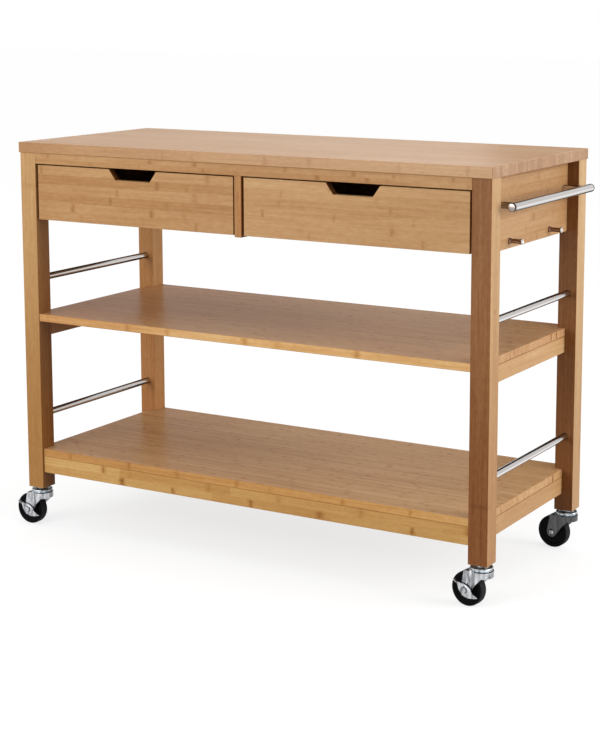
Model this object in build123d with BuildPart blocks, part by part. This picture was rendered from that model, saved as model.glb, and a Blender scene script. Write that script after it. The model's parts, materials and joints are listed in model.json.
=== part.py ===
from build123d import *
from math import asin, cos, degrees, radians, sin
import os

# A rolling kitchen island: a thick worktop on four square legs, with two drawers side by side,
# two full-width shelves, guard rods at both ends, a towel bar and two pegs on the right end,
# and four swivel casters, of which the front two have brakes.
# Millimetres. +Z is up, the front faces -Y, and the origin is on the floor below the middle
# of the worktop.

# Worktop and legs
top_length = 1219.0
top_depth = 508.0
top_thickness = 24.0
overall_height = 928.0
caster_height = 97.0
leg_side = 44.5
leg_inset_x = 2.0
leg_inset_y = 3.0
leg_round = 1.6
board = 18.0
board_ease = 0.8
top_ease = 1.6

# Drawer storey under the worktop
storey_height = 160.0
rail_height = 25.0
front_gap_centre = 4.5
front_gap_leg = 5.0
front_gap_top = 3.0
front_recess = 3.0
front_height = 128.0
notch_top_width = 131.0
notch_bottom_width = 94.5
notch_depth = 25.0
notch_round = 3.0

# Drawer boxes and their runners
box_wall = 12.0
box_height = 100.0
box_lift = 14.0
box_length = 420.0
box_bottom = 6.0
box_bottom_lift = 10.0
groove_depth = 5.0
groove_play = 0.2
runner_space = 13.0
runner_height = 36.0
runner_sheet = 1.5
runner_depth = 10.0
runner_play = 0.4
runner_length = 400.0
runner_setback = 12.0

# Shelves and the boards that carry them
middle_shelf_top = 522.5
middle_shelf_recess = 2.0
middle_rail_height = 38.0
bottom_shelf_top = 194.0
bottom_shelf_recess = 5.0
apron_height = 40.0

# Guard rods, towel bar and pegs
rod_radius = 8.0
rod_seat = 10.0
rod_heights = {"lower": 272.0, "upper": 603.0}
seat_play = 0.1
bar_radius = 9.0
bar_reach = 52.5
bar_length = 428.0
bar_height = 844.0
bar_cap = 2.5
bar_neck = 1.5
bar_neck_radius = 8.0
bar_chamfer = 0.8
post_radius = 7.0
post_spacing = 366.0
peg_length = 30.0
peg_radius = 4.8
peg_rim_radius = 6.3
peg_rim = 2.6
peg_height = 760.0
peg_spacing = 210.0

# Angle brackets that hold the worktop, and their screws
bracket_leg = 20.0
bracket_width = 24.0
bracket_sheet = 2.0
bracket_setback = 11.0
bracket_end_spacing = 240.0
bracket_long_spacing = 600.0
screw_radius = 2.0
screw_head_radius = 4.0
screw_head = 1.8
screw_length = 12.0

# Casters
wheel_radius = 37.5
wheel_half = 10.75
wheel_web_half = 8.6
wheel_hub_half = 12.0
wheel_hub_radius = 11.0
wheel_web_radius = 27.0
wheel_face_radius = 29.0
wheel_shoulder = 3.5
trail = 31.0
axle_radius = 4.0
running_play = 0.08
fork_sheet = 2.5
fork_outer = 14.7
fork_nose_radius = 11.5
fork_back = -35.2
fork_crease = -15.0
fork_front = 20.9
fork_bend = 5.0
crown_radius = 26.0
crown_top = 79.0
crown_rim = 82.5
crown_rim_back = -21.0
skirt_back = 11.0
skirt_bottom = 69.5
race_radius = 25.0
race_bottom = 83.0
race_top = 90.5
race_round = 2.5
collar_radius = 12.0
stem_radius = 5.0
stem_length = 34.0
pivot_head_radius = 8.0
pivot_head = 3.5
ball_radius = 1.95
ball_circle = 15.5
balls_per_caster = 10
dome_radius = 6.2
dome_height = 2.2
lever_sheet = 2.0
lever_gap = 3.3
lever_play = 0.2
lever_bush_radius = 6.5
lever_round = 1.5
tab_width = 5.0
nut_radius = 7.5
nut_height = 5.0
swivel_angles = {"front_left": -1.0, "front_right": 8.0, "rear_left": 3.0, "rear_right": 6.5}

# Places worked out from the sizes above
underside = overall_height - top_thickness
leg_x = top_length / 2 - leg_inset_x - leg_side / 2
leg_y = top_depth / 2 - leg_inset_y - leg_side / 2
inner_x = leg_x - leg_side / 2
inner_y = leg_y - leg_side / 2
face_y = leg_y + leg_side / 2
panel_outer_x = inner_x + board
storey_bottom = underside - storey_height
rail_bottom = underside - rail_height
front_top = rail_bottom - front_gap_top
front_bottom = front_top - front_height
drawer_face_y = -face_y + front_recess
box_front_y = drawer_face_y + board
box_back_y = box_front_y + box_length
box_bottom_z = front_bottom + box_lift
box_top_z = box_bottom_z + box_height
bottom_low_z = box_bottom_z + box_bottom_lift
bottom_high_z = bottom_low_z + box_bottom
box_inner_x = board / 2 + runner_space
box_outer_x = inner_x - runner_space
runner_z = box_bottom_z + box_height / 2
bar_x = panel_outer_x + bar_reach
corners = {
    "front_left": (-1, -1),
    "front_right": (1, -1),
    "rear_left": (-1, 1),
    "rear_right": (1, 1),
}
ends = {"left": -1, "right": 1}

os.makedirs("parts", exist_ok=True)


def keep(made, name):
    """Label a finished piece and write its STEP file."""
    made.part.label = name
    export_step(made.part, f"parts/{name}.step")


def facing(point, direction):
    """The plane through a point whose local x runs along a level direction and y is up."""
    along = Vector(*direction)
    return Plane(origin=point, x_dir=along, z_dir=along.cross(Vector(0, 0, 1)))


def bracket_planes():
    """One plane for each bracket: its origin is in the corner and its local x runs inward."""
    half_end = bracket_end_spacing / 2
    half_long = bracket_long_spacing / 2
    planes = []
    for sign in (-1, 1):
        planes.append(facing((-inner_x, sign * half_end, underside), (1, 0, 0)))
        planes.append(facing((inner_x, sign * half_end, underside), (-1, 0, 0)))
        planes.append(facing((sign * half_long, board - face_y, underside), (0, 1, 0)))
        planes.append(facing((sign * half_long, inner_y, underside), (0, -1, 0)))
    return planes


def top_screw_planes():
    """Where the bracket screws enter the worktop, each facing down."""
    places = [plane.from_local_coords((bracket_setback, 0, 0)) for plane in bracket_planes()]
    return [Plane(origin=place, z_dir=(0, 0, -1)) for place in places]


def side_screw_planes():
    """Where the bracket screws enter the panels and the front rail, each facing inward."""
    return [
        Plane(origin=plane.from_local_coords((0, -bracket_setback, 0)), z_dir=plane.x_dir)
        for plane in bracket_planes()
    ]


def pilot_bores(planes, low, high):
    """Cut a pilot bore at each plane that lies on the piece between two opposite corners."""
    for plane in planes:
        if all(a - 1 < v < b + 1 for a, v, b in zip(low, plane.origin, high)):
            with Locations(plane):
                Hole(screw_radius + seat_play, screw_length + seat_play)


def make_board(low, high, ease=board_ease, screws=()):
    """A rectangular board between two opposite corners, eased, with any pilot bores it needs."""
    width, depth, height = (b - a for a, b in zip(low, high))
    with BuildPart() as made:
        with BuildSketch(Plane.XY.offset(low[2])):
            with Locations((low[0] + width / 2, low[1] + depth / 2)):
                Rectangle(width, depth)
        extrude(amount=height)
        fillet(made.edges(), ease)
        pilot_bores(screws, low, high)
    return made


def make_leg(side_x, side_y):
    """A square leg with blind bores for two guard rods and for its caster's stem."""
    inner_face = facing((side_x * leg_x, side_y * inner_y, 0), (-side_y, 0, 0))
    with BuildPart() as leg:
        with BuildSketch(Plane.XY.offset(caster_height)):
            with Locations((side_x * leg_x, side_y * leg_y)):
                RectangleRounded(leg_side, leg_side, leg_round)
        extrude(amount=underside - caster_height)
        fillet(leg.faces().sort_by(Axis.Z)[0].edges(), board_ease)
        with BuildSketch(inner_face):
            with Locations(*((0, height) for height in rod_heights.values())):
                Circle(rod_radius + seat_play)
        extrude(amount=rod_seat, mode=Mode.SUBTRACT)
        with BuildSketch(Plane.XY.offset(caster_height)):
            with Locations((side_x * leg_x, side_y * leg_y)):
                Circle(stem_radius + seat_play)
        extrude(amount=stem_length, mode=Mode.SUBTRACT)
    return leg


def make_divider():
    """The upright board between the drawers, notched at the top for the front rail."""
    with BuildPart() as divider:
        with BuildSketch(Plane.XY.offset(storey_bottom)):
            with Locations((0, (inner_y - face_y) / 2)):
                Rectangle(board, face_y + inner_y)
        extrude(amount=storey_height)
        with BuildSketch(Plane.XY.offset(rail_bottom)):
            with Locations((0, -face_y + board / 2)):
                Rectangle(board, board)
        extrude(amount=rail_height, mode=Mode.SUBTRACT)
        front_edges = divider.edges().filter_by(Axis.Z).group_by(Axis.Y)[0]
        bottom_edges = divider.faces().sort_by(Axis.Z)[0].edges().filter_by(Axis.Y)
        fillet(front_edges + bottom_edges, board_ease)
    return divider


def make_shelf(top, recess):
    """A full-width shelf whose corners are notched round the legs."""
    with BuildPart() as shelf:
        with BuildSketch(Plane.XY.offset(top - board)):
            Rectangle(2 * panel_outer_x, 2 * (face_y - recess))
            with GridLocations(2 * leg_x, 2 * leg_y, 2, 2):
                Rectangle(leg_side, leg_side, mode=Mode.SUBTRACT)
        extrude(amount=board)
        fillet(shelf.faces().filter_by(Axis.Z).edges(), board_ease)
    return shelf


def make_rod(side, height):
    """A straight guard rod seated in the front leg and the rear leg of one end."""
    half = inner_y + rod_seat - seat_play
    with BuildPart() as rod:
        with BuildSketch(Plane.XZ.offset(half)):
            with Locations((side * leg_x, height)):
                Circle(rod_radius)
        extrude(amount=-2 * half)
    return rod


def make_towel_bar():
    """A round bar along Y with a thin groove behind each end cap."""
    half = bar_length / 2
    groove_end = half - bar_cap
    groove_start = groove_end - bar_neck
    with BuildPart() as bar:
        with BuildSketch(Plane(origin=(bar_x, 0, bar_height))):
            with BuildLine():
                Polyline(
                    (0, -half),
                    (bar_radius, -half),
                    (bar_radius, -groove_end),
                    (bar_neck_radius, -groove_end),
                    (bar_neck_radius, -groove_start),
                    (bar_radius, -groove_start),
                    (bar_radius, groove_start),
                    (bar_neck_radius, groove_start),
                    (bar_neck_radius, groove_end),
                    (bar_radius, groove_end),
                    (bar_radius, half),
                    (0, half),
                    close=True,
                )
            make_face()
        revolve(axis=Axis((bar_x, 0, bar_height), (0, 1, 0)))
        end_faces = bar.faces().filter_by(GeomType.PLANE).sort_by(Axis.Y)
        chamfer(end_faces[0].edges() + end_faces[-1].edges(), bar_chamfer)
    return bar


def make_bar_posts():
    """Two posts from the right end panel, each saddled to the towel bar."""
    with BuildPart() as posts:
        with BuildSketch(Plane.YZ.offset(panel_outer_x)):
            with Locations(*((sign * post_spacing / 2, bar_height) for sign in (-1, 1))):
                Circle(post_radius)
        extrude(amount=bar_reach)
        with BuildSketch(Plane.XZ.offset(bar_length / 2)):
            with Locations((bar_x, bar_height)):
                Circle(bar_radius + seat_play)
        extrude(amount=-bar_length, mode=Mode.SUBTRACT)
    return posts


def make_pegs():
    """Two turned pegs on the right end panel, each with a rim at its foot and at its tip."""
    with BuildPart() as pegs:
        for sign in (-1, 1):
            foot = (panel_outer_x, sign * peg_spacing / 2, peg_height)
            with BuildSketch(Plane(origin=foot)):
                with BuildLine():
                    Polyline(
                        (0, 0),
                        (0, peg_rim_radius),
                        (peg_rim, peg_rim_radius),
                        (2 * peg_rim, peg_radius),
                        (peg_length - 2 * peg_rim, peg_radius),
                        (peg_length - peg_rim, peg_rim_radius),
                        (peg_length, peg_rim_radius),
                        (peg_length, 0),
                        close=True,
                    )
                make_face()
            revolve(axis=Axis(foot, (1, 0, 0)))
    return pegs


def make_drawer_front(side):
    """A drawer front with a finger notch in its top edge and a groove for the drawer bottom."""
    inner_edge = board / 2 + front_gap_centre
    outer_edge = inner_x - front_gap_leg
    middle = side * (inner_edge + outer_edge) / 2
    notch_floor = front_top - notch_depth
    groove_width = box_outer_x - box_inner_x - 2 * (box_wall - groove_depth)
    with BuildPart() as front:
        with BuildSketch(Plane.XZ.offset(-drawer_face_y)) as outline:
            with Locations((middle, front_top - front_height / 2)):
                Rectangle(outer_edge - inner_edge, front_height)
            with BuildLine():
                Polyline(
                    (middle - notch_top_width / 2, front_top),
                    (middle - notch_bottom_width / 2, notch_floor),
                    (middle + notch_bottom_width / 2, notch_floor),
                    (middle + notch_top_width / 2, front_top),
                    close=True,
                )
            make_face(mode=Mode.SUBTRACT)
            notch_corners = outline.vertices().filter_by(
                lambda corner: abs(corner.X - middle) < notch_top_width
            )
            fillet(notch_corners, notch_round)
        extrude(amount=-board)
        fillet(front.faces().sort_by(Axis.Y)[0].edges(), board_ease)
        with BuildSketch(Plane.XZ.offset(-box_front_y)):
            with Locations((side * (box_inner_x + box_outer_x) / 2, bottom_low_z + box_bottom / 2)):
                Rectangle(groove_width, box_bottom + groove_play)
        extrude(amount=groove_depth, mode=Mode.SUBTRACT)
    return front


def make_box_side(low_x, inward):
    """A drawer side from its lower x, grooved for the bottom on the face that looks inward."""
    groove_face = low_x + (box_wall if inward > 0 else 0)
    middle_y = (box_front_y + box_back_y) / 2
    with BuildPart() as box_side:
        with BuildSketch(Plane.XY.offset(box_bottom_z)):
            with Locations((low_x + box_wall / 2, middle_y)):
                Rectangle(box_wall, box_length)
        extrude(amount=box_height)
        fillet(box_side.faces().sort_by(Axis.Z)[-1].edges().filter_by(Axis.Y), board_ease)
        with BuildSketch(Plane.YZ.offset(groove_face)):
            with Locations((middle_y, bottom_low_z + box_bottom / 2)):
                Rectangle(box_length, box_bottom + groove_play)
        extrude(amount=-inward * groove_depth, mode=Mode.SUBTRACT)
    return box_side


def make_channels(places, height):
    """C-shaped runner channels along Y: each place is a web's x and the side it opens to."""
    with BuildPart() as channels:
        with BuildSketch(Plane.XZ.offset(-box_front_y - runner_setback)):
            for web_x, opening in places:
                with Locations((web_x + opening * runner_depth / 2, runner_z)):
                    Rectangle(runner_depth, height)
                hollow_height = height - 2 * runner_sheet
                with Locations((web_x + opening * (runner_depth + runner_sheet) / 2, runner_z)):
                    Rectangle(runner_depth - runner_sheet, hollow_height, mode=Mode.SUBTRACT)
        extrude(amount=-runner_length)
    return channels


def make_brackets():
    """Bent angle brackets in the corners under the worktop, each with two screw holes."""
    with BuildPart() as brackets:
        for plane in bracket_planes():
            with BuildSketch(plane):
                with BuildLine():
                    Polyline(
                        (0, 0),
                        (bracket_leg, 0),
                        (bracket_leg, -bracket_sheet),
                        (bracket_sheet, -bracket_sheet),
                        (bracket_sheet, -bracket_leg),
                        (0, -bracket_leg),
                        close=True,
                    )
                make_face()
            extrude(amount=bracket_width / 2, both=True)
        for plane in top_screw_planes() + side_screw_planes():
            with Locations(plane.offset(bracket_sheet)):
                Hole(screw_radius + seat_play, bracket_sheet)
    return brackets


def make_bracket_screws():
    """Pan-head screws through the brackets, up into the worktop and into the boards."""
    with BuildPart() as screws:
        for plane in top_screw_planes() + side_screw_planes():
            with BuildSketch(plane.offset(bracket_sheet)):
                Circle(screw_head_radius)
            extrude(amount=screw_head)
            with BuildSketch(plane.offset(bracket_sheet)):
                Circle(screw_radius)
            extrude(amount=-bracket_sheet - screw_length)
    return screws


def caster_frame(place):
    """A caster's own plane on the floor under its leg: local -x is the way that it trails."""
    side_x, side_y = corners[place]
    turn = radians(swivel_angles[place])
    return Plane(origin=(side_x * leg_x, side_y * leg_y, 0), x_dir=(cos(turn), -sin(turn), 0))


def axle_centre(frame):
    """The middle of a caster's axle."""
    return frame.from_local_coords((-trail, 0, wheel_radius))


def make_pivot(frame):
    """A caster's fixed part: the stem in the leg, a collar, the upper race and the pin under it."""
    head_top = crown_top - fork_sheet - seat_play
    stem_top = caster_height + stem_length - seat_play
    with BuildPart() as pivot:
        with BuildSketch(facing(frame.origin, frame.x_dir)) as profile:
            with BuildLine():
                Polyline(
                    (0, head_top - pivot_head),
                    (pivot_head_radius, head_top - pivot_head),
                    (pivot_head_radius, head_top),
                    (stem_radius, head_top),
                    (stem_radius, race_bottom),
                    (race_radius, race_bottom),
                    (race_radius, race_top),
                    (collar_radius, race_top),
                    (collar_radius, caster_height),
                    (stem_radius, caster_height),
                    (stem_radius, stem_top),
                    (0, stem_top),
                    close=True,
                )
            make_face()
            fillet(profile.vertices().group_by(Axis.X)[-1], race_round)
        revolve(axis=Axis(frame.origin, (0, 0, 1)))
    return pivot


def make_balls():
    """A ring of balls between the crown and the upper race of each caster."""
    with BuildPart() as balls:
        for place in corners:
            with Locations(caster_frame(place).offset((crown_top + race_bottom) / 2)):
                with PolarLocations(ball_circle, balls_per_caster):
                    Sphere(ball_radius)
    return balls


def make_fork_plan():
    """The fork seen from above: two flat cheeks that flare out into the round crown."""
    reach = 2 * crown_radius
    with BuildSketch() as plan:
        with BuildLine():
            ThreePointArc((0, -crown_radius), (crown_radius, 0), (0, crown_radius))
            Polyline(
                (0, crown_radius),
                (fork_crease, fork_outer),
                (-reach, fork_outer),
                (-reach, -fork_outer),
                (fork_crease, -fork_outer),
                (0, -crown_radius),
            )
        make_face()
        bends = plan.vertices().filter_by(lambda corner: -reach < corner.X - 1)
        fillet(bends, fork_bend)
    return plan.sketch


def make_fork(frame):
    """A pressed caster fork: a skirt that narrows to two cheeks, under a crown with a rim."""
    centre_plane = facing(frame.origin, frame.x_dir)
    reach = 2 * crown_radius
    plan = make_fork_plan()
    with BuildPart() as fork:
        with BuildSketch(frame):
            add(plan)
            offset(amount=-fork_sheet, mode=Mode.SUBTRACT)
        extrude(amount=crown_rim)
        with BuildSketch(frame.offset(crown_top - fork_sheet)):
            add(plan)
        extrude(amount=fork_sheet)
        with BuildSketch(centre_plane):
            with BuildLine():
                CenterArc((-trail, wheel_radius), fork_nose_radius, 0, 360)
                Line((fork_back, crown_top), (fork_front, crown_top))
            make_hull()
            with Locations(((crown_rim_back + crown_radius) / 2, (crown_top + crown_rim) / 2)):
                Rectangle(crown_radius - crown_rim_back, crown_rim - crown_top)
            with Locations(((skirt_back + crown_radius) / 2, (skirt_bottom + crown_top) / 2)):
                Rectangle(crown_radius - skirt_back, crown_top - skirt_bottom)
        extrude(amount=reach, both=True, mode=Mode.INTERSECT)
        with BuildSketch(frame):
            Circle(stem_radius + running_play)
        extrude(amount=crown_rim, mode=Mode.SUBTRACT)
        with BuildSketch(facing(axle_centre(frame), frame.x_dir)):
            Circle(axle_radius + seat_play)
        extrude(amount=reach, both=True, mode=Mode.SUBTRACT)
    return fork


def make_wheel(frame):
    """A solid wheel with rounded shoulders, a recessed web on each face and a bored hub."""
    bore_radius = axle_radius + running_play
    with BuildPart() as wheel:
        with BuildSketch(facing(axle_centre(frame), frame.y_dir)) as profile:
            with BuildLine():
                Polyline(
                    (-wheel_hub_half, bore_radius),
                    (-wheel_hub_half, wheel_hub_radius),
                    (-wheel_web_half, wheel_hub_radius),
                    (-wheel_web_half, wheel_web_radius),
                    (-wheel_half, wheel_face_radius),
                    (-wheel_half, wheel_radius),
                    (wheel_half, wheel_radius),
                    (wheel_half, wheel_face_radius),
                    (wheel_web_half, wheel_web_radius),
                    (wheel_web_half, wheel_hub_radius),
                    (wheel_hub_half, wheel_hub_radius),
                    (wheel_hub_half, bore_radius),
                    close=True,
                )
            make_face()
            fillet(profile.vertices().group_by(Axis.Y)[-1], wheel_shoulder)
        revolve(axis=Axis(axle_centre(frame), frame.y_dir))
    return wheel


def make_axle(frame, has_lever):
    """An axle with a domed head at the rear, and a dome, or a bush and a nut, at the front."""
    sphere = (dome_radius**2 + dome_height**2) / (2 * dome_height)
    dome_angle = degrees(asin(dome_radius / sphere))
    dome_centre = fork_outer + dome_height - sphere
    bush_end = fork_outer + lever_gap - lever_play
    nut_seat = fork_outer + lever_gap + lever_sheet + lever_play
    with BuildPart() as axle:
        with BuildSketch(facing(axle_centre(frame), frame.y_dir)):
            with BuildLine():
                CenterArc((dome_centre, 0), sphere, 0, dome_angle)
                Polyline(
                    (fork_outer, dome_radius),
                    (fork_outer, axle_radius),
                    (-fork_outer, axle_radius),
                    (-fork_outer, 0),
                    (fork_outer + dome_height, 0),
                )
            make_face()
            if not has_lever:
                with BuildLine():
                    CenterArc((-dome_centre, 0), sphere, 180 - dome_angle, dome_angle)
                    Polyline(
                        (-fork_outer, dome_radius), (-fork_outer, 0), (-fork_outer - dome_height, 0)
                    )
                make_face()
        revolve(axis=Axis(axle_centre(frame), frame.y_dir))
        if has_lever:
            front_face = facing(axle_centre(frame), frame.x_dir)
            with BuildSketch(front_face.offset(fork_outer)):
                Circle(lever_bush_radius)
            extrude(amount=bush_end - fork_outer)
            with BuildSketch(front_face.offset(bush_end)):
                Circle(axle_radius)
            extrude(amount=nut_seat - bush_end)
            with BuildSketch(front_face.offset(nut_seat)):
                RegularPolygon(nut_radius, 6)
            extrude(amount=nut_height)
    return axle


def make_lever(frame):
    """A brake lever outside the front cheek: a folded foot tab, a wide middle, a pointed toe."""
    inner_face = facing(axle_centre(frame), frame.x_dir).offset(fork_outer + lever_gap)
    with BuildPart() as lever:
        with BuildSketch(inner_face) as outline:
            with BuildLine():
                Polyline(
                    (-24.5, 21.0),
                    (-12.0, 14.5),
                    (1.0, 12.0),
                    (13.0, 6.0),
                    (21.0, -4.5),
                    (34.0, -12.0),
                    (24.0, -14.5),
                    (9.0, -16.0),
                    (-4.0, -12.0),
                    (-13.5, 0.0),
                    (-17.0, 11.0),
                    (-25.4, 19.2),
                    close=True,
                )
            make_face()
            fillet(outline.vertices(), lever_round / 2)
            Circle(axle_radius + running_play, mode=Mode.SUBTRACT)
        extrude(amount=lever_sheet)
        with BuildSketch(inner_face):
            with BuildLine():
                Polyline((-24.0, 20.7), (-14.5, 15.8), (-15.4, 14.0), (-24.9, 18.9), close=True)
            make_face()
        extrude(amount=lever_sheet + tab_width)
    return lever


def keep_frame():
    """The worktop, legs, front rail, panels, divider and the brackets under the worktop."""
    screws = top_screw_planes()
    low = (-top_length / 2, -top_depth / 2, underside)
    keep(make_board(low, (-low[0], -low[1], overall_height), top_ease, screws), "worktop")
    for place, (side_x, side_y) in corners.items():
        keep(make_leg(side_x, side_y), f"leg_{place}")
    screws = side_screw_planes()
    low, high = (-inner_x, -face_y, rail_bottom), (inner_x, board - face_y, underside)
    keep(make_board(low, high, screws=screws), "front_rail")
    low, high = (-inner_x, inner_y, storey_bottom), (inner_x, inner_y + board, underside)
    keep(make_board(low, high, screws=screws), "back_panel")
    low, high = (-panel_outer_x, -inner_y, storey_bottom), (-inner_x, inner_y, underside)
    keep(make_board(low, high, screws=screws), "side_panel_left")
    low, high = (inner_x, -inner_y, storey_bottom), (panel_outer_x, inner_y, underside)
    keep(make_board(low, high, screws=screws), "side_panel_right")
    keep(make_divider(), "centre_divider")
    keep(make_brackets(), "worktop_brackets")
    keep(make_bracket_screws(), "bracket_screws")


def keep_shelves():
    """The two shelves, the rails under the middle one and the aprons under the bottom one."""
    rail_top = middle_shelf_top - board
    apron_top = bottom_shelf_top - board
    apron_y = face_y - bottom_shelf_recess
    keep(make_shelf(middle_shelf_top, middle_shelf_recess), "middle_shelf")
    keep(make_shelf(bottom_shelf_top, bottom_shelf_recess), "bottom_shelf")
    for end, side in ends.items():
        low_x = min(side * inner_x, side * panel_outer_x)
        low = (low_x, -inner_y, rail_top - middle_rail_height)
        keep(make_board(low, (low_x + board, inner_y, rail_top)), f"middle_rail_{end}")
        low = (low_x, -inner_y, apron_top - apron_height)
        keep(make_board(low, (low_x + board, inner_y, apron_top)), f"apron_{end}")
    low = (-inner_x, -apron_y, apron_top - apron_height)
    keep(make_board(low, (inner_x, board - apron_y, apron_top)), "apron_front")
    low = (-inner_x, apron_y - board, apron_top - apron_height)
    keep(make_board(low, (inner_x, apron_y, apron_top)), "apron_rear")


def keep_fittings():
    """The guard rods at both ends, and the towel bar and pegs on the right end."""
    for end, side in ends.items():
        for level, height in rod_heights.items():
            keep(make_rod(side, height), f"guard_rod_{end}_{level}")
    keep(make_towel_bar(), "towel_bar")
    keep(make_bar_posts(), "towel_bar_posts")
    keep(make_pegs(), "pegs")


def keep_drawer(end, side):
    """A drawer's front, box and moving runners."""
    low_x = min(side * box_inner_x, side * box_outer_x)
    high_x = max(side * box_inner_x, side * box_outer_x)
    inset = box_wall - groove_depth + groove_play
    bottom_front = box_front_y - groove_depth + groove_play
    keep(make_drawer_front(side), f"drawer_{end}_front")
    keep(make_box_side(low_x, 1), f"drawer_{end}_side_left")
    keep(make_box_side(high_x - box_wall, -1), f"drawer_{end}_side_right")
    low = (low_x + box_wall, box_back_y - box_wall, bottom_high_z + groove_play)
    keep(make_board(low, (high_x - box_wall, box_back_y, box_top_z)), f"drawer_{end}_back")
    low = (low_x + inset, bottom_front, bottom_low_z)
    keep(make_board(low, (high_x - inset, box_back_y, bottom_high_z)), f"drawer_{end}_bottom")
    moving_height = runner_height - 2 * (runner_sheet + runner_play)
    webs = ((low_x, -1), (high_x, 1))
    keep(make_channels(webs, moving_height), f"drawer_{end}_runners")


def keep_fixed_runners():
    """The runner channels on the end panels and on both faces of the divider."""
    webs = ((-inner_x, 1), (-board / 2, -1), (board / 2, 1), (inner_x, -1))
    keep(make_channels(webs, runner_height), "fixed_runners")


def keep_caster(place):
    """One caster: fixed pivot, swivelling fork, wheel, axle and, at the front, a brake lever."""
    frame = caster_frame(place)
    has_lever = place.startswith("front")
    keep(make_pivot(frame), f"caster_{place}_pivot")
    keep(make_fork(frame), f"caster_{place}_fork")
    keep(make_wheel(frame), f"caster_{place}_wheel")
    keep(make_axle(frame, has_lever), f"caster_{place}_axle")
    if has_lever:
        keep(make_lever(frame), f"caster_{place}_brake_lever")


keep_frame()
keep_shelves()
keep_fittings()
keep_fixed_runners()
for end, side in ends.items():
    keep_drawer(end, side)
for place in corners:
    keep_caster(place)
keep(make_balls(), "caster_balls")
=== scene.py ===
"""A rolling bamboo kitchen island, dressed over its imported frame.

Metres. +Z is up, the front faces -Y, and the origin is on the floor below the middle of the
worktop. Boards, brackets, screws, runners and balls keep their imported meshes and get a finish.
Rods, the towel bar, its posts, pegs, wheels and caster pivots are surfaces turned here, and
forks, axles and brake levers are eased copies. Both kinds stand for their nodes.
"""

import json
import logging
import math
from dataclasses import dataclass, field, replace
from enum import Enum

import bmesh
import bpy
import numpy as np
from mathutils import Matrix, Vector

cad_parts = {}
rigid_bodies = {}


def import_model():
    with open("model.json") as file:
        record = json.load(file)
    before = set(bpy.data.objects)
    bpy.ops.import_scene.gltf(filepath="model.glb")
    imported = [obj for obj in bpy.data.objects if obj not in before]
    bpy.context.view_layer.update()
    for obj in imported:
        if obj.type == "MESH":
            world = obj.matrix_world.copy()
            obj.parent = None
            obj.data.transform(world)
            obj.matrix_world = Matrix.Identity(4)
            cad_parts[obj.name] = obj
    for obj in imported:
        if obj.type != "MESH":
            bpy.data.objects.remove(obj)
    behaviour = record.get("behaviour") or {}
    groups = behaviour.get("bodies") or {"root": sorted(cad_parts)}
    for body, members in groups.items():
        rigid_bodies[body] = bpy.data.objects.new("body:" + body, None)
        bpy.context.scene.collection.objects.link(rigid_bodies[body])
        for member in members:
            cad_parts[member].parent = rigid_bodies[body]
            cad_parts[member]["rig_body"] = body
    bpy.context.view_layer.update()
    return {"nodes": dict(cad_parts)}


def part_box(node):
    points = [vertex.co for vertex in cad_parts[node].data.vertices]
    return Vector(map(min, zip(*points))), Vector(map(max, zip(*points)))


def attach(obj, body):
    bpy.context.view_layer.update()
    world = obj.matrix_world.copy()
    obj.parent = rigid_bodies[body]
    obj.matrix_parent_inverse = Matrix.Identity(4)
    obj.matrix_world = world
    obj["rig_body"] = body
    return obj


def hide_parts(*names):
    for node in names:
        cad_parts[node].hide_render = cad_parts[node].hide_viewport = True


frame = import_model()

log = logging.getLogger("kitchen_island")

Array = np.ndarray
Material = bpy.types.Material
Piece = bpy.types.Object
Socket = bpy.types.NodeSocket
Colour = tuple[float, float, float, float]
Point = tuple[float, float, float]
Pair = tuple[float, float]

# A noise's waves per unit, its finer layers and how strong they are.
Noise = tuple[float, float, float]
# Where a smooth step starts and ends, and its results there.
Ease = tuple[float, float, float, float]
# A bump's depth in metres and its strength, 0 to 1.
Relief = tuple[float, float]

FRONT: Point = (0.0, -1.0, 0.0)
REAR: Point = (0.0, 1.0, 0.0)
LEFT: Point = (-1.0, 0.0, 0.0)
RIGHT: Point = (1.0, 0.0, 0.0)
WHITE: Colour = (1.0, 1.0, 1.0, 1.0)

# The world's axes in the order that a bar turned along X or along Y needs, its own axis last.
ALONG_X = np.eye(3)[[1, 2, 0]]
ALONG_Y = np.eye(3)[[2, 0, 1]]

# How far a face looks one way where the finish for that way starts, and where it is full.
SIDE_RANGE: Pair = (0.5, 0.8)
END_RANGE: Pair = (0.6, 0.9)


class Grain(Enum):
    """The axis that a board's fibres or a turned bar's length run along."""

    X = 0
    Y = 1
    Z = 2


class Blend(Enum):
    """How a mix node lays its second colour on the first."""

    PLAIN = "MIX"
    MULTIPLY = "MULTIPLY"


@dataclass(frozen=True)
class Waves:
    """A noise drawn out along a piece: waves per unit along and across it, and its layers."""

    along: float
    across: float
    detail: float = 2.0
    rough: float = 0.5


def linear(red: float, green: float, blue: float) -> Colour:
    """Turns a screen colour into the linear one that shaders use, by the sRGB curve.

    Args:
        red: Screen red, 0 to 255.
        green: Screen green, 0 to 255.
        blue: Screen blue, 0 to 255.

    Returns:
        The linear red, green and blue, with an alpha of 1.
    """
    tone = np.array([red, green, blue], float) / 255
    tone = np.where(tone <= 0.04045, tone / 12.92, ((tone + 0.055) / 1.055) ** 2.4)
    return (*tone.tolist(), 1.0)


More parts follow.
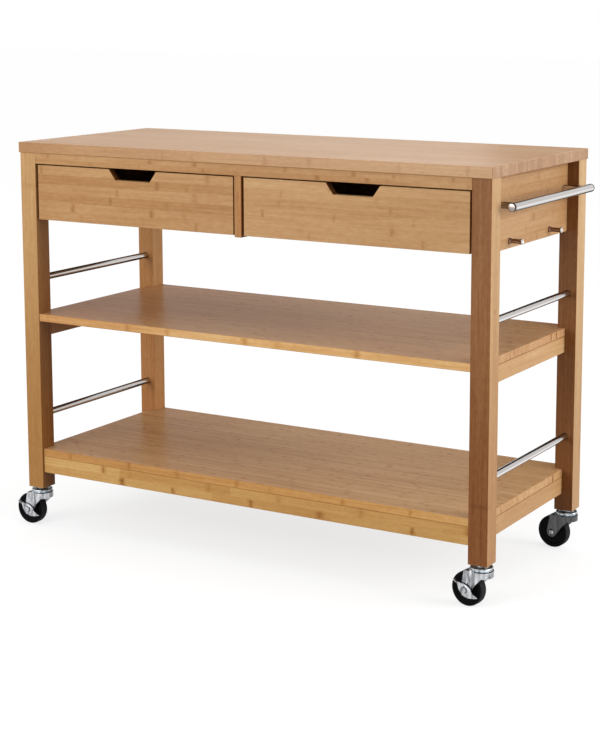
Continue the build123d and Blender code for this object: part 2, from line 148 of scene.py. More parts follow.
class NodeSheet:
    """The node tree of one material or world, with short calls for what finishes share."""

    def __init__(self, owner: Material | bpy.types.World) -> None:
        """Empties the owner's node tree.

        Args:
            owner: The material or world whose nodes this sheet lays out.
        """
        owner.use_nodes = True
        self.owner = owner
        self.tree = owner.node_tree
        self.tree.nodes.clear()

    def feed(self, socket: Socket, value: object) -> None:
        """Links a socket to another, or sets its constant.

        Args:
            socket: The input to feed.
            value: An output socket, or a plain number, vector or colour.
        """
        if isinstance(value, bpy.types.NodeSocket):
            self.tree.links.new(value, socket)
        else:
            socket.default_value = value

    def add(self, kind: str, inputs: dict | None = None, **settings: object) -> bpy.types.Node:
        """Adds a node.

        Args:
            kind: The node's type name.
            inputs: Values or sockets by input name or number.
            settings: The node's own settings.

        Returns:
            The new node.
        """
        node = self.tree.nodes.new(kind)
        for name, value in settings.items():
            setattr(node, name, value)
        for name, value in (inputs or {}).items():
            self.feed(node.inputs[name], value)
        return node

    def math(self, operation: str, *values: object) -> Socket:
        """Adds a math node with one to three numbers or sockets."""
        return self.add("ShaderNodeMath", dict(enumerate(values)), operation=operation).outputs[0]

    def times(self, value: object, factor: object, *more: object) -> Socket:
        """Multiplies two values, and adds a third where one is given."""
        return self.math("MULTIPLY_ADD" if more else "MULTIPLY", value, factor, *more)

    def size(self, value: Socket) -> Socket:
        """Drops a value's sign."""
        return self.math("ABSOLUTE", value)

    def gap(self, value: Socket, mark: float) -> Socket:
        """Gives the distance between a value and a mark."""
        return self.size(self.math("SUBTRACT", value, mark))

    def sway(self, total: object, noise: Socket, weight: object) -> Socket:
        """Adds a noise's swing about 0.5, times its weight, to a total."""
        return self.times(self.math("SUBTRACT", noise, 0.5), weight, total)

    def ease(self, value: object, low: float, high: float, start: float, end: float) -> Socket:
        """Steps smoothly from start to end as a value goes from low to high, and holds there."""
        inputs = {0: value, 1: low, 2: high, 3: start, 4: end}
        return self.add("ShaderNodeMapRange", inputs, interpolation_type="SMOOTHSTEP").outputs[0]

    def vector(self, first: object, second: object, third: object) -> Socket:
        """Joins three values into a vector."""
        return self.add("ShaderNodeCombineXYZ", {0: first, 1: second, 2: third}).outputs[0]

    def split(self, value: Socket) -> list[Socket]:
        """Splits a vector into its three parts."""
        return list(self.add("ShaderNodeSeparateXYZ", {0: value}).outputs)

    def noise(self, place: Socket, scale: float, detail: float, rough: float) -> Socket:
        """Adds a smooth noise about 0.5, of so many waves per unit, with finer layers."""
        inputs = {"Vector": place, "Scale": scale, "Detail": detail, "Roughness": rough}
        return self.add("ShaderNodeTexNoise", inputs).outputs[0]

    def drawn(self, along: Socket, across: list[Socket], waves: Waves) -> Socket:
        """Adds a noise drawn out along a piece, which is read where its own axes are scaled.

        Args:
            along: The place along the piece.
            across: The two places across it.
            waves: The noise's waves and layers.

        Returns:
            The noise value.
        """
        sides = [self.times(place, waves.across) for place in across]
        place = self.vector(self.times(along, waves.along), *sides)
        return self.noise(place, 1.0, waves.detail, waves.rough)

    def mix(
        self, share: object, first: object, second: object, how: Blend = Blend.PLAIN
    ) -> Socket:
        """Lays a share, 0 to 1, of a second colour on the first."""
        inputs = {0: share, 6: first, 7: second}
        return self.add("ShaderNodeMix", inputs, data_type="RGBA", blend_type=how.value).outputs[2]

    def ramp(self, value: Socket, stops: tuple[tuple[float, Colour], ...]) -> Socket:
        """Colours a value along a ramp.

        Args:
            value: The value to colour.
            stops: Places between 0 and 1, each with its colour, in order.

        Returns:
            The colour.
        """
        node = self.add("ShaderNodeValToRGB", {0: value})
        elements = node.color_ramp.elements
        for place, _ in stops[1:-1]:
            elements.new(place)
        for element, (place, colour) in zip(elements, stops):
            element.position, element.color = place, colour
        return node.outputs[0]

    def bump(self, height: Socket, relief: Relief) -> Socket:
        """Turns a height of about 0 to 1 into a bumped normal."""
        inputs = {"Height": height, "Distance": relief[0], "Strength": relief[1]}
        return self.add("ShaderNodeBump", inputs).outputs[0]

    def facing(self, normal: Socket, way: Point) -> Socket:
        """Tells how far a face looks one way: 1 along it, -1 against it."""
        inputs = {0: normal, 1: way}
        return self.add("ShaderNodeVectorMath", inputs, operation="DOT_PRODUCT").outputs["Value"]

    def radius(self, place: Socket, centre: Point, turn: float) -> Socket:
        """Gives the distance from an axle.

        Args:
            place: The place on the piece.
            centre: The middle of the axle.
            turn: The axle's turn about Z away from Y, in degrees.

        Returns:
            The distance.
        """
        rotation = (0.0, 0.0, -math.radians(turn))
        inputs = {"Vector": place, "Location": centre, "Rotation": rotation}
        sides = self.split(self.add("ShaderNodeMapping", inputs, vector_type="TEXTURE").outputs[0])
        squares = [self.math("POWER", sides[number], 2.0) for number in (0, 2)]
        return self.math("SQRT", self.math("ADD", *squares))

    def show(self, output: str, shader: bpy.types.Node) -> None:
        """Joins a shader to the output."""
        self.add(output, {0: shader.outputs[0]})

    def finish(self, inputs: dict) -> Material:
        """Joins the main shader, with its inputs, to the output, and gives the material back."""
        self.show("ShaderNodeOutputMaterial", self.add("ShaderNodeBsdfPrincipled", inputs))
        return self.owner


BAMBOO_TONES = (
    (0.0, linear(80, 43, 19)),
    (0.25, linear(127, 79, 41)),
    (0.5, linear(164, 119, 74)),
    (0.7, linear(189, 150, 105)),
    (0.85, linear(207, 174, 134)),
    (1.0, linear(234, 212, 186)),
)


@dataclass(frozen=True)
class Knuckle:
    """The shape of every knuckle: its widths are shares of the board's knuckle width."""

    bend: float = 1.1
    bend_waves: float = 90.0
    bend_noise: Noise = (2.2, 2.0, 0.6)
    shift: float = 41.0
    scatter: float = 0.8
    line_width: float = 0.26
    line_depth: float = 0.42
    band_depth: float = 0.8
    widths: Pair = (0.9, 0.5)
    strengths: Pair = (0.9, 0.2)
    strength_power: float = 1.2
    side_ease: Ease = (0.0, 0.3, 0.35, 1.0)
    streak_ease: Ease = (0.3, 0.6, 0.45, 1.2)


@dataclass(frozen=True)
class Bamboo:
    """Laminated bamboo: strips side by side and in layers, each with its own tone and knuckles."""

    name: str
    grain: Grain = Grain.X
    tone: float = 0.66
    spread: float = 0.12
    # Tone shifts for faces that look one way: the board's own tone on some boards, painted shade
    # on the sides in the drawer gaps, and painted shade and light on some leg sides.
    faces: tuple[tuple[Point, float], ...] = ()
    # A painted shade on the rounded edges, and where it starts and where it is full.
    painted_edge_shade: float = -0.12
    painted_edge_range: Pair = (0.82, 0.99)
    strip: Pair = (0.006, 0.0214)
    start: Pair = (0.0, 0.0)
    length: float = 0.62
    knuckle_gap: float = 0.3
    knuckle_width: float = 0.0105
    knuckle_depth: float = 0.42
    knuckle_relief: float = 0.35
    knuckle: Knuckle = Knuckle()
    streaks: float = 0.22
    streak_waves: Waves = Waves(5.0, 190.0, 3.0, 0.6)
    streak_roughness: float = 0.16
    fibres: float = 0.14
    fibre_waves: Waves = Waves(22.0, 1300.0, rough=0.6)
    fibre_relief: float = 0.5
    mottle: float = 0.16
    mottle_waves: Waves = Waves(60.0, 150.0, rough=0.6)
    drift: float = 0.14
    drift_waves: Waves = Waves(2.2, 7.0, 1.0)
    fade: float = 2.2
    fade_waves: Waves = Waves(2.6, 7.3, 1.0)
    glue_depth: float = 0.16
    glue_ease: Ease = (0.0001, 0.0006, 1.0, 0.0)
    glue_relief: float = -0.8
    end_depth: float = 0.2
    end_spread: float = 0.1
    pores: float = 900.0
    pore_scatter: float = 0.9
    pore_ease: Ease = (0.18, 0.42, 1.0, 0.25)
    pore_roughness: float = 0.2
    warmth: float = 0.12
    warm_range: Pair = (0.55, 0.95)
    warm: Colour = linear(246, 226, 206)
    # A whole-board tint: the wood's own colour on most boards, a painted reflection on the shelf
    # and worktop tops, which the face tints take back off their sides.
    stain: Colour = WHITE
    face_stains: tuple[tuple[Point, Colour], ...] = ()
    # Painted light towards the low end of the rise: shade down a leg, a fading reflection along a
    # shelf.
    foot: Colour = WHITE
    painted_light_rise: Pair = (0.2, 0.95)
    joint: float | None = None
    joint_ease: Ease = (0.0003, 0.0014, 0.42, 0.0)
    level_ease: Ease = (0.5, 0.9, 1.0, 0.0)
    roughness: float = 0.4
    shine: float = 0.14
    relief: Relief = (0.0004, 0.3)
    seed: float = 1.0
    seed_step: float = 3.1
    length_seed: float = 0.37

    def make(self) -> Material:
        """Lays out the finish.

        Every strip's number is the whole part of its place across the board over its width, and
        a hash of the numbers gives its tone and where its knuckles start. The tone is the board's
        own, plus the strip's, which drifts along its length, plus streaks and fibres of noise
        drawn out along the grain, less the knuckles, the glue lines and the end grain's pores.
        A colour of painted light comes in slowly towards the low end of the rise: painted shade
        down the legs, and a painted reflection fading along the shelves and worktop. Where a
        height is given for a joint with the next board, a dark line runs round the board's sides
        there.

        Returns:
            The material.
        """
        sheet = NodeSheet(bpy.data.materials.new(self.name))
        places = sheet.add("ShaderNodeTexCoord")
        normal = places.outputs["Normal"]
        position = sheet.split(places.outputs["Object"])
        height = position[2]
        along = position.pop(self.grain.value)
        strips = [
            sheet.math("DIVIDE", sheet.math("SUBTRACT", place, low), width)
            for place, low, width in zip(position, self.start, self.strip)
        ]
        numbers = [sheet.math("FLOOR", strip) for strip in strips]
        strip_hash = self._hash(sheet, sheet.vector(*numbers, self.seed), self.seed)
        lengths = sheet.times(along, 1 / self.length, strip_hash[0])
        cut = sheet.vector(*numbers, sheet.math("FLOOR", lengths))
        cut_hash = self._hash(sheet, cut, self.seed + self.length_seed)

        seeded = sheet.math("ADD", along, self.seed * self.seed_step)
        streak = sheet.drawn(seeded, position, self.streak_waves)
        fibre = sheet.drawn(seeded, position, self.fibre_waves)
        drift = sheet.drawn(seeded, position, self.drift_waves)
        knuckle = self._knuckles(sheet, along, strip_hash[1], strips, streak)
        fade = sheet.drawn(along, numbers, self.fade_waves)
        mottle = sheet.drawn(seeded, position, self.mottle_waves)
        glue = self._glue_lines(sheet, strips, lengths)
        end_face = sheet.size(sheet.split(normal)[self.grain.value])
        end_face = sheet.ease(end_face, *END_RANGE, 0.0, 1.0)
        pores = self._pores(sheet, position, end_face)

        spread = sheet.times(end_face, self.end_spread, self.spread)
        tone = sheet.sway(self.tone, cut_hash[0], spread)
        shares = (
            (streak, self.streaks), (fibre, self.fibres), (mottle, self.mottle),
            (drift, self.drift), (fade, self.fade * self.spread),
        )
        for value, weight in shares:
            tone = sheet.sway(tone, value, weight)
        marks = ((knuckle, self.knuckle_depth), (glue, self.glue_depth), (pores, self.end_depth))
        for value, weight in marks:
            tone = sheet.times(value, -weight, tone)
        tone = self._face_tones(sheet, tone, normal, height)

        colour = sheet.ramp(tone, BAMBOO_TONES)
        warm = sheet.ease(cut_hash[1], *self.warm_range, 0.0, self.warmth)
        colour = sheet.mix(warm, colour, self.warm, Blend.MULTIPLY)
        # whole-board tint; on shelves and worktop a painted reflection that the side tints undo
        colour = sheet.mix(1.0, colour, self.stain, Blend.MULTIPLY)
        for way, stain in self.face_stains:
            share = sheet.ease(sheet.facing(normal, way), *SIDE_RANGE, 0.0, 1.0)
            colour = sheet.mix(share, colour, stain, Blend.MULTIPLY)
        # painted light that comes in towards the low end of the rise
        share = sheet.ease(along, *self.painted_light_rise, 1.0, 0.0)
        colour = sheet.mix(share, colour, self.foot, Blend.MULTIPLY)

        relief = sheet.times(glue, self.glue_relief, sheet.times(fibre, self.fibre_relief))
        relief = sheet.times(knuckle, self.knuckle_relief, relief)
        rough = sheet.sway(self.roughness, streak, self.streak_roughness)
        return sheet.finish({
            "Base Color": colour,
            "Roughness": sheet.times(pores, self.pore_roughness, rough),
            "Specular IOR Level": self.shine,
            "Normal": sheet.bump(relief, self.relief),
        })

    def _hash(self, sheet: NodeSheet, place: Socket, seed: float) -> list[Socket]:
        """Gives three values between 0 and 1 that jump from one strip to the next."""
        inputs = {"Vector": place, "W": seed}
        return sheet.split(
            sheet.add("ShaderNodeTexWhiteNoise", inputs, noise_dimensions="4D").outputs["Color"]
        )

    def _face_tones(
        self, sheet: NodeSheet, tone: Socket, normal: Socket, height: Socket
    ) -> Socket:
        """Shifts the tone by the way a face looks, paints shade on rounded edges, and marks the
        joint's height.

        Args:
            sheet: The material's nodes.
            tone: The tone so far.
            normal: The way the face looks.
            height: The height on the piece.

        Returns:
            The shifted tone.
        """
        # per-face tone: own tone on some boards, painted shade and light on others
        for way, shift in self.faces:
            shift = sheet.ease(sheet.facing(normal, way), *SIDE_RANGE, 0.0, shift)
            tone = sheet.math("ADD", tone, shift)
        # painted shade on rounded edges, where the normal leans between the axes
        flat: object = 0.0
        for part in sheet.split(normal):
            flat = sheet.math("MAXIMUM", flat, sheet.size(part))
        tone = sheet.math("ADD", tone, sheet.ease(flat, *self.painted_edge_range, self.painted_edge_shade, 0.0))
        if self.joint is None:
            return tone
        line = sheet.ease(sheet.gap(height, self.joint), *self.joint_ease)
        level = sheet.size(sheet.split(normal)[2])
        line = sheet.times(line, sheet.ease(level, *self.level_ease))
        return sheet.math("SUBTRACT", tone, line)

    def _knuckles(
        self, sheet: NodeSheet, along: Socket, offset: Socket, strips: list[Socket], streak: Socket
    ) -> Socket:
        """Marks the knuckles: a soft wavy band across the strip round a thin line.

        Each has its own strength and width. It is weaker at the strip's sides and between streaks.

        Args:
            sheet: The material's nodes.
            along: The place along the grain.
            offset: Where this strip's knuckles start, 0 to 1.
            strips: The place across the board in strip widths, on both axes.
            streak: The board's streaks, which break the band up.

        Returns:
            How much of a knuckle there is, 0 to 1.
        """
        shape = self.knuckle
        bends = sheet.vector(*strips, sheet.times(along, shape.bend_waves))
        bend = sheet.noise(bends, *shape.bend_noise)
        along = sheet.times(bend, shape.bend * self.knuckle_width, along)
        place = sheet.times(offset, shape.shift, sheet.math("DIVIDE", along, self.knuckle_gap))
        inputs = {"W": place, "Scale": 1.0, "Randomness": shape.scatter}
        cells = sheet.add("ShaderNodeTexVoronoi", inputs, voronoi_dimensions="1D").outputs
        away = sheet.times(cells["Distance"], self.knuckle_gap)
        line_width = shape.line_width * self.knuckle_width
        line = sheet.ease(away, 0.0, line_width, shape.line_depth, 0.0)
        width = sheet.times(sheet.split(cells["Color"])[1], *shape.widths)
        away = sheet.math("DIVIDE", away, width)
        band = sheet.ease(away, 0.0, self.knuckle_width, shape.band_depth, 0.0)
        mark = sheet.math("ADD", line, band)
        strength = sheet.math("POWER", sheet.split(cells["Color"])[0], shape.strength_power)
        mark = sheet.times(mark, sheet.times(strength, *shape.strengths))
        for strip in strips:
            side = sheet.math("PINGPONG", strip, 0.5)
            mark = sheet.times(mark, sheet.ease(side, *shape.side_ease))
        return sheet.times(mark, sheet.ease(streak, *shape.streak_ease))

    def _glue_lines(self, sheet: NodeSheet, strips: list[Socket], lengths: Socket) -> Socket:
        """Marks the thin dark lines between strips, and where a strip's lengths butt.

        Args:
            sheet: The material's nodes.
            strips: The place across the board in strip widths, on both axes.
            lengths: The place along the board in strip lengths.

        Returns:
            How much of a glue line there is, 0 to 1.
        """
        total: object = 0.0
        for place, width in zip((*strips, lengths), (*self.strip, self.length)):
            away = sheet.times(sheet.math("PINGPONG", place, 0.5), width)
            total = sheet.math("MAXIMUM", total, sheet.ease(away, *self.glue_ease))
        return total

    def _pores(self, sheet: NodeSheet, across: list[Socket], end_face: Socket) -> Socket:
        """Marks the dark pores that a cut across the fibres opens.

        Args:
            sheet: The material's nodes.
            across: The two places across the grain.
            end_face: Where the face is cut across the grain, 0 to 1.

        Returns:
            How much of a pore there is, 0 to 1.
        """
        place = sheet.vector(*across, 0.0)
        inputs = {"Vector": place, "Scale": self.pores, "Randomness": self.pore_scatter}
        cells = sheet.add("ShaderNodeTexVoronoi", inputs, voronoi_dimensions="2D").outputs
        return sheet.times(sheet.ease(cells["Distance"], *self.pore_ease), end_face)


@dataclass(frozen=True)
class BrushedSteel:
    """Satin stainless steel, brushed along a bar's length, with painted dark reflections on two
    sides.
    """

    name: str
    axis: Grain = Grain.Y
    # Painted dark reflections along the two sides that face along this way or against it.
    painted_shade_way: Point = (-0.27, 0.0, 0.96)
    painted_dark_sides: Colour = linear(58, 50, 46)
    painted_dark_at: float = 0.88
    painted_dark_ease: Ease = (0.08, 0.17, 0.96, 0.0)
    # Painted tone on the end faces: shade on the bars, a highlight on the pegs.
    ends: Colour = linear(132, 120, 114)
    painted_end_ease: Ease = (*END_RANGE, 0.0, 0.9)
    low: Colour = linear(176, 172, 169)
    high: Colour = linear(212, 209, 207)
    # A painted highlight streak where the surface faces this far along the shade way.
    painted_highlight: Colour = linear(240, 237, 238)
    painted_highlight_at: float = -0.36
    painted_highlight_ease: Ease = (0.08, 0.3, 0.7, 0.0)
    line_waves: Waves = Waves(30.0, 4200.0, 3.0)
    line_roughness: Pair = (0.1, 0.1)
    smear_waves: Waves = Waves(14.0, 60.0)
    smear_sway: float = 0.12
    smear_roughness: float = 0.05
    relief: Relief = (0.00002, 0.4)
    groove: float = 0.0
    groove_half: float = 0.0024
    groove_blur: float = 0.0004
    # Painted shade in the bar's groove, where the neck lies in shadow.
    painted_groove_shade: Colour = linear(30, 27, 26)
    painted_groove_share: float = 0.94

    def make(self) -> Material:
        """Lays out the finish: fine lines of noise drawn out along the bar, and slow smears.

        A painted dark reflection runs along each side of where the steel faces along the given way
        or against it, and a painted highlight streak lies where the two ways make the dot product
        given.
        The ends get painted shade on the bars and a painted highlight on the pegs. A painted shade
        darkens a groove at the same distance from the middle on both sides.

        Returns:
            The material.
        """
        sheet = NodeSheet(bpy.data.materials.new(self.name))
        places = sheet.add("ShaderNodeTexCoord")
        normal = places.outputs["Normal"]
        position = sheet.split(places.outputs["Object"])
        along = position.pop(self.axis.value)
        lines = sheet.drawn(along, position, self.line_waves)
        smear = sheet.drawn(along, position, self.smear_waves)
        dot = sheet.facing(normal, self.painted_shade_way)
        colour = sheet.mix(lines, self.low, self.high)
        # painted highlight streak
        share = sheet.ease(sheet.gap(dot, self.painted_highlight_at), *self.painted_highlight_ease)
        colour = sheet.mix(share, colour, self.painted_highlight)
        # painted dark reflections along two sides, set by the way the surface faces
        side = sheet.times(smear, self.smear_sway, sheet.size(dot))
        share = sheet.ease(sheet.gap(side, self.painted_dark_at), *self.painted_dark_ease)
        colour = sheet.mix(share, colour, self.painted_dark_sides)
        # painted tone on the end faces: shade on the bars, a highlight on the pegs
        end = sheet.size(sheet.split(normal)[self.axis.value])
        colour = sheet.mix(sheet.ease(end, *self.painted_end_ease), colour, self.ends)
        # painted shade in the groove
        if self.groove:
            away = sheet.gap(sheet.size(along), self.groove)
            blur = self.groove_half + self.groove_blur
            painted_groove_shade = sheet.ease(away, self.groove_half, blur, self.painted_groove_share, 0.0)
            colour = sheet.mix(painted_groove_shade, colour, self.painted_groove_shade)
        rough = sheet.times(lines, *self.line_roughness)
        return sheet.finish({
            "Base Color": colour,
            "Metallic": 1.0,
            "Roughness": sheet.times(smear, self.smear_roughness, rough),
            "Normal": sheet.bump(lines, self.relief),
        })


@dataclass(frozen=True)
class ZincPlate:
    """Bright zinc plating on pressed steel, with a faint cloud of crystals and a dull haze."""

    name: str
    low: Colour = linear(116, 118, 122)
    high: Colour = linear(206, 208, 211)
    roughness: float = 0.18
    crystals: float = 260.0
    crystal_share: float = 0.12
    haze: Noise = (120.0, 1.5, 0.5)
    haze_ease: Ease = (0.26, 0.8, 0.0, 1.0)
    haze_roughness: float = 0.2
    streak: Point = (1.0, 1.0, 0.3)
    scuffs: Noise = (900.0, 2.0, 0.7)
    scuff_roughness: float = 0.08
    relief: Relief = (0.00004, 0.35)
    # A painted shade in a ring round the axle.
    axle: Point | None = None
    turn: float = 0.0
    ring: float = 0.0066
    painted_ring_ease: Ease = (0.0004, 0.002, 0.86, 0.0)
    painted_ring_shade: Colour = linear(30, 30, 33)

    def make(self) -> Material:
        """Lays out the finish: patches between random points, a haze and small scuffs.

        The haze is drawn out along the axis where its streak is the smallest. Where an axle is
        given, a painted shade darkens a ring round it, where the nut's shadow falls.

        Returns:
            The material.
        """
        sheet = NodeSheet(bpy.data.materials.new(self.name))
        place = sheet.add("ShaderNodeTexCoord").outputs["Object"]
        patch = sheet.add("ShaderNodeTexVoronoi", {"Vector": place, "Scale": self.crystals})
        drawn = sheet.add("ShaderNodeVectorMath", {0: place, 1: self.streak}, operation="MULTIPLY")
        haze = sheet.noise(drawn.outputs[0], *self.haze)
        scuff = sheet.noise(place, *self.scuffs)
        share = sheet.times(patch.outputs["Distance"], self.crystal_share, haze)
        share = sheet.ease(share, *self.haze_ease)
        rough = sheet.times(haze, self.haze_roughness, self.roughness)
        colour = sheet.mix(share, self.low, self.high)
        # painted shade round the axle nut
        if self.axle:
            away = sheet.gap(sheet.radius(place, self.axle, self.turn), self.ring)
            colour = sheet.mix(sheet.ease(away, *self.painted_ring_ease), colour, self.painted_ring_shade)
        return sheet.finish({
            "Base Color": colour,
            "Metallic": 1.0,
            "Roughness": sheet.times(scuff, self.scuff_roughness, rough),
            "Normal": sheet.bump(scuff, self.relief),
        })


@dataclass(frozen=True)
class WheelRubber:
    """Near-black moulded tread and wheel, greyer on the tread: partly wear, partly a painted
    sheen.
    """

    name: str
    centre: Point
    turn: float
    tread_ease: Ease = (0.0345, 0.0368, 0.0, 1.0)
    tread_roughness: Pair = (0.22, 0.34)
    body: tuple[Colour, Colour] = (linear(2, 2, 2), linear(9, 8, 9))
    # Greyer tread: partly wear, partly a painted sheen.
    worn_and_sheen: tuple[Colour, Colour] = (linear(18, 18, 20), linear(50, 50, 54))
    grime: Noise = (140.0, 4.0, 0.65)
    grime_roughness: float = 0.12
    specks: Noise = (1500.0, 2.0, 0.6)
    rings: float = 4200.0
    ring_share: float = 0.18
    shine: float = 0.05
    relief: Relief = (0.00006, 0.35)

    def make(self) -> Material:
        """Lays out the finish by the distance from the axle.

        Returns:
            The material.
        """
        sheet = NodeSheet(bpy.data.materials.new(self.name))
        place = sheet.add("ShaderNodeTexCoord").outputs["Object"]
        radius = sheet.radius(place, self.centre, self.turn)
        tread = sheet.ease(radius, *self.tread_ease)
        grime = sheet.noise(place, *self.grime)
        specks = sheet.noise(place, *self.specks)
        body = sheet.mix(grime, *self.body)
        worn_and_sheen = sheet.mix(grime, *self.worn_and_sheen)
        rings = sheet.math("SINE", sheet.times(radius, self.rings))
        height = sheet.times(rings, self.ring_share, specks)
        rough = sheet.times(tread, *self.tread_roughness)
        return sheet.finish({
            "Base Color": sheet.mix(tread, body, worn_and_sheen),
            "Roughness": sheet.times(grime, self.grime_roughness, rough),
            "Specular IOR Level": self.shine,
            "Normal": sheet.bump(height, self.relief),
        })


def rounded(rows: list | Array, steps: int, closed: bool = False) -> Array:
    """Rounds the corners of a flat path.

    Each corner P becomes the curve (1-t)^2 A + 2t(1-t) P + t^2 B for t from 0 to 1, where A and B
    lie on its two sides, as far from P as the radius times the tangent of half the turn.

    Args:
        rows: For each corner its place along the axis, its distance from it and its rounding.
        steps: Points on each rounded corner.
        closed: Whether the path ends where it starts.

    Returns:
        The rounded path, one row for each point.
    """
    rows = np.array(rows, float)
    corners, radii = rows[:, :2], rows[:, 2]
    back = np.roll(corners, 1, axis=0) - corners
    ahead = np.roll(corners, -1, axis=0) - corners
    back_length = np.linalg.norm(back, axis=1)
    ahead_length = np.linalg.norm(ahead, axis=1)
    back, ahead = back / back_length[:, None], ahead / ahead_length[:, None]
    turn = math.pi - np.arccos(np.clip((back * ahead).sum(1), -1, 1))
    reach = np.minimum(radii * np.tan(turn / 2), 0.49 * np.minimum(back_length, ahead_length))
    if not closed:
        reach[[0, -1]] = 0
    share = np.linspace(0, 1, steps)[None, :, None]
    start, end = corners + back * reach[:, None], corners + ahead * reach[:, None]
    points = (1 - share) ** 2 * start[:, None] + share**2 * end[:, None]
    points = (points + 2 * share * (1 - share) * corners[:, None]).reshape(-1, 2)
    gaps = np.linalg.norm(np.diff(points, axis=0), axis=1)
    return points[np.concatenate([[True], gaps > 1e-7])]


def mirrored(rows: list) -> Array:
    """Follows a profile with its mirror image, whose places along the axis change sign."""
    return np.concatenate([rows, np.array(rows)[::-1] * (-1, 1, 1)])


def turned(
    name: str, profile: Array, origin: Array | tuple, axes: Array, steps: int,
    ring: bool = False, sharp: float = 35.0,
) -> Piece:
    """Turns a profile round an axis into a piece.

    The profile's point (a, r) at the angle t goes to the origin given, plus r cos t times the
    first axis, plus r sin t times the second, plus a times the third.

    Args:
        name: The piece's name.
        profile: Places along the axis and distances from it, one row each.
        origin: The place where the profile's own place is nothing.
        axes: Three axes, one row each, the last the one that it is turned round.
        steps: Points round the axis.
        ring: Whether the profile's end joins its start.
        sharp: The angle in degrees past which an edge stays sharp.

    Returns:
        The piece's object, at the origin of the scene.
    """
    angle = np.linspace(0, 2 * math.pi, steps, endpoint=False)
    along = np.repeat(profile[:, :1], steps, axis=1)
    sides = [profile[:, 1:] * np.cos(angle), profile[:, 1:] * np.sin(angle)]
    points = origin + np.stack([*sides, along], axis=-1) @ axes
    rows = len(profile)
    index = np.arange(rows * steps).reshape(rows, steps)
    index = np.concatenate([index, index[:, :1]], axis=1)
    if ring:
        index = np.concatenate([index, index[:1]], axis=0)
    corners = [index[:-1, :-1], index[1:, :-1], index[1:, 1:], index[:-1, 1:]]
    quads = np.stack(corners, axis=-1).reshape(-1, 4)
    mesh = bpy.data.meshes.new(name)
    mesh.vertices.add(rows * steps)
    mesh.vertices.foreach_set("co", points.reshape(-1).astype(np.float32))
    mesh.loops.add(quads.size)
    mesh.loops.foreach_set("vertex_index", quads.reshape(-1).astype(np.int32))
    mesh.polygons.add(len(quads))
    mesh.polygons.foreach_set("loop_start", np.arange(0, quads.size, 4, dtype=np.int32))
    mesh.update(calc_edges=True)
    return finished(name, mesh, sharp)


def linked(name: str, data: bpy.types.ID) -> Piece:
    """Puts a mesh, lamp or camera into the scene as an object.

    Args:
        name: The object's name.
        data: What it shows.

    Returns:
        The object, at the origin.
    """
    thing = bpy.data.objects.new(name, data)
    bpy.context.scene.collection.objects.link(thing)
    return thing


def finished(name: str, mesh: bpy.types.Mesh, sharp: float) -> Piece:
    """Merges a mesh's doubles, turns its faces outwards and shades it smooth up to an angle.

    Args:
        name: The piece's name.
        mesh: The mesh to finish.
        sharp: The angle in degrees past which an edge stays sharp.

    Returns:
        The piece's object, at the origin.
    """
    sheet = bmesh.new()
    sheet.from_mesh(mesh)
    bmesh.ops.remove_doubles(sheet, verts=sheet.verts, dist=1e-6)
    bmesh.ops.recalc_face_normals(sheet, faces=sheet.faces)
    sheet.to_mesh(mesh)
    sheet.free()
    mesh.shade_smooth()
    mesh.set_sharp_from_angle(angle=math.radians(sharp))
    return linked(name, mesh)


def joined(name: str, pieces: list[Piece]) -> Piece:
    """Joins pieces into one.

    Args:
        name: The joined piece's name.
        pieces: The pieces to join, which are used up.

    Returns:
        The joined piece.
    """
    with bpy.context.temp_override(active_object=pieces[0], selected_editable_objects=pieces):
        bpy.ops.object.join()
    pieces[0].name = name
    return pieces[0]


def eased_copy(node: str, width: float, angle: float = 40.0) -> Piece:
    """Copies a node's mesh, merged and with its sharp edges rounded over.

    Args:
        node: The node to copy.
        width: How wide the rounded edges are, in metres.
        angle: The angle in degrees past which an edge is rounded.

    Returns:
        The copy, with a live bevel.
    """
    piece = finished(f"{node}_eased", frame["nodes"][node].data.copy(), angle)
    bevel = piece.modifiers.new("eased_edges", "BEVEL")
    bevel.width, bevel.segments = width, 2
    bevel.limit_method, bevel.angle_limit = "ANGLE", math.radians(angle)
    bevel.use_clamp_overlap = True
    bevel.harden_normals = True
    return piece


def dress(piece: Piece, material: Material) -> None:
    """Gives a piece one finish, in its object's own material slots.

    Args:
        piece: The piece to dress.
        material: The finish.
    """
    if not piece.material_slots:
        piece.data.materials.append(None)
    for slot in piece.material_slots:
        slot.link = "OBJECT"
        slot.material = material


def stand_for(piece: Piece, node: str, material: Material) -> None:
    """Puts a new piece in a node's place: it rides on the node's body and takes its finish.

    Args:
        piece: The new piece.
        node: The node that it stands for.
        material: The finish.
    """
    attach(piece, frame["nodes"][node]["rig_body"])
    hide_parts(node)
    dress(piece, material)
    log.info("piece %s stands for %s", piece.name, node)


def dress_nodes(finish: Bamboo | ZincPlate, *nodes: str) -> None:
    """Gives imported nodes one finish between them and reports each.

    Args:
        finish: The finish.
        nodes: The nodes' names.
    """
    material = finish.make()
    for node in nodes:
        dress(frame["nodes"][node], material)
        log.info("node %s wears %s", node, material.name)


def middle(node: str) -> tuple[Array, Array]:
    """Gives the middle and the half size of a node's box."""
    low, high = (np.array(corner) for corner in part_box(node))
    return (low + high) / 2, (high - low) / 2


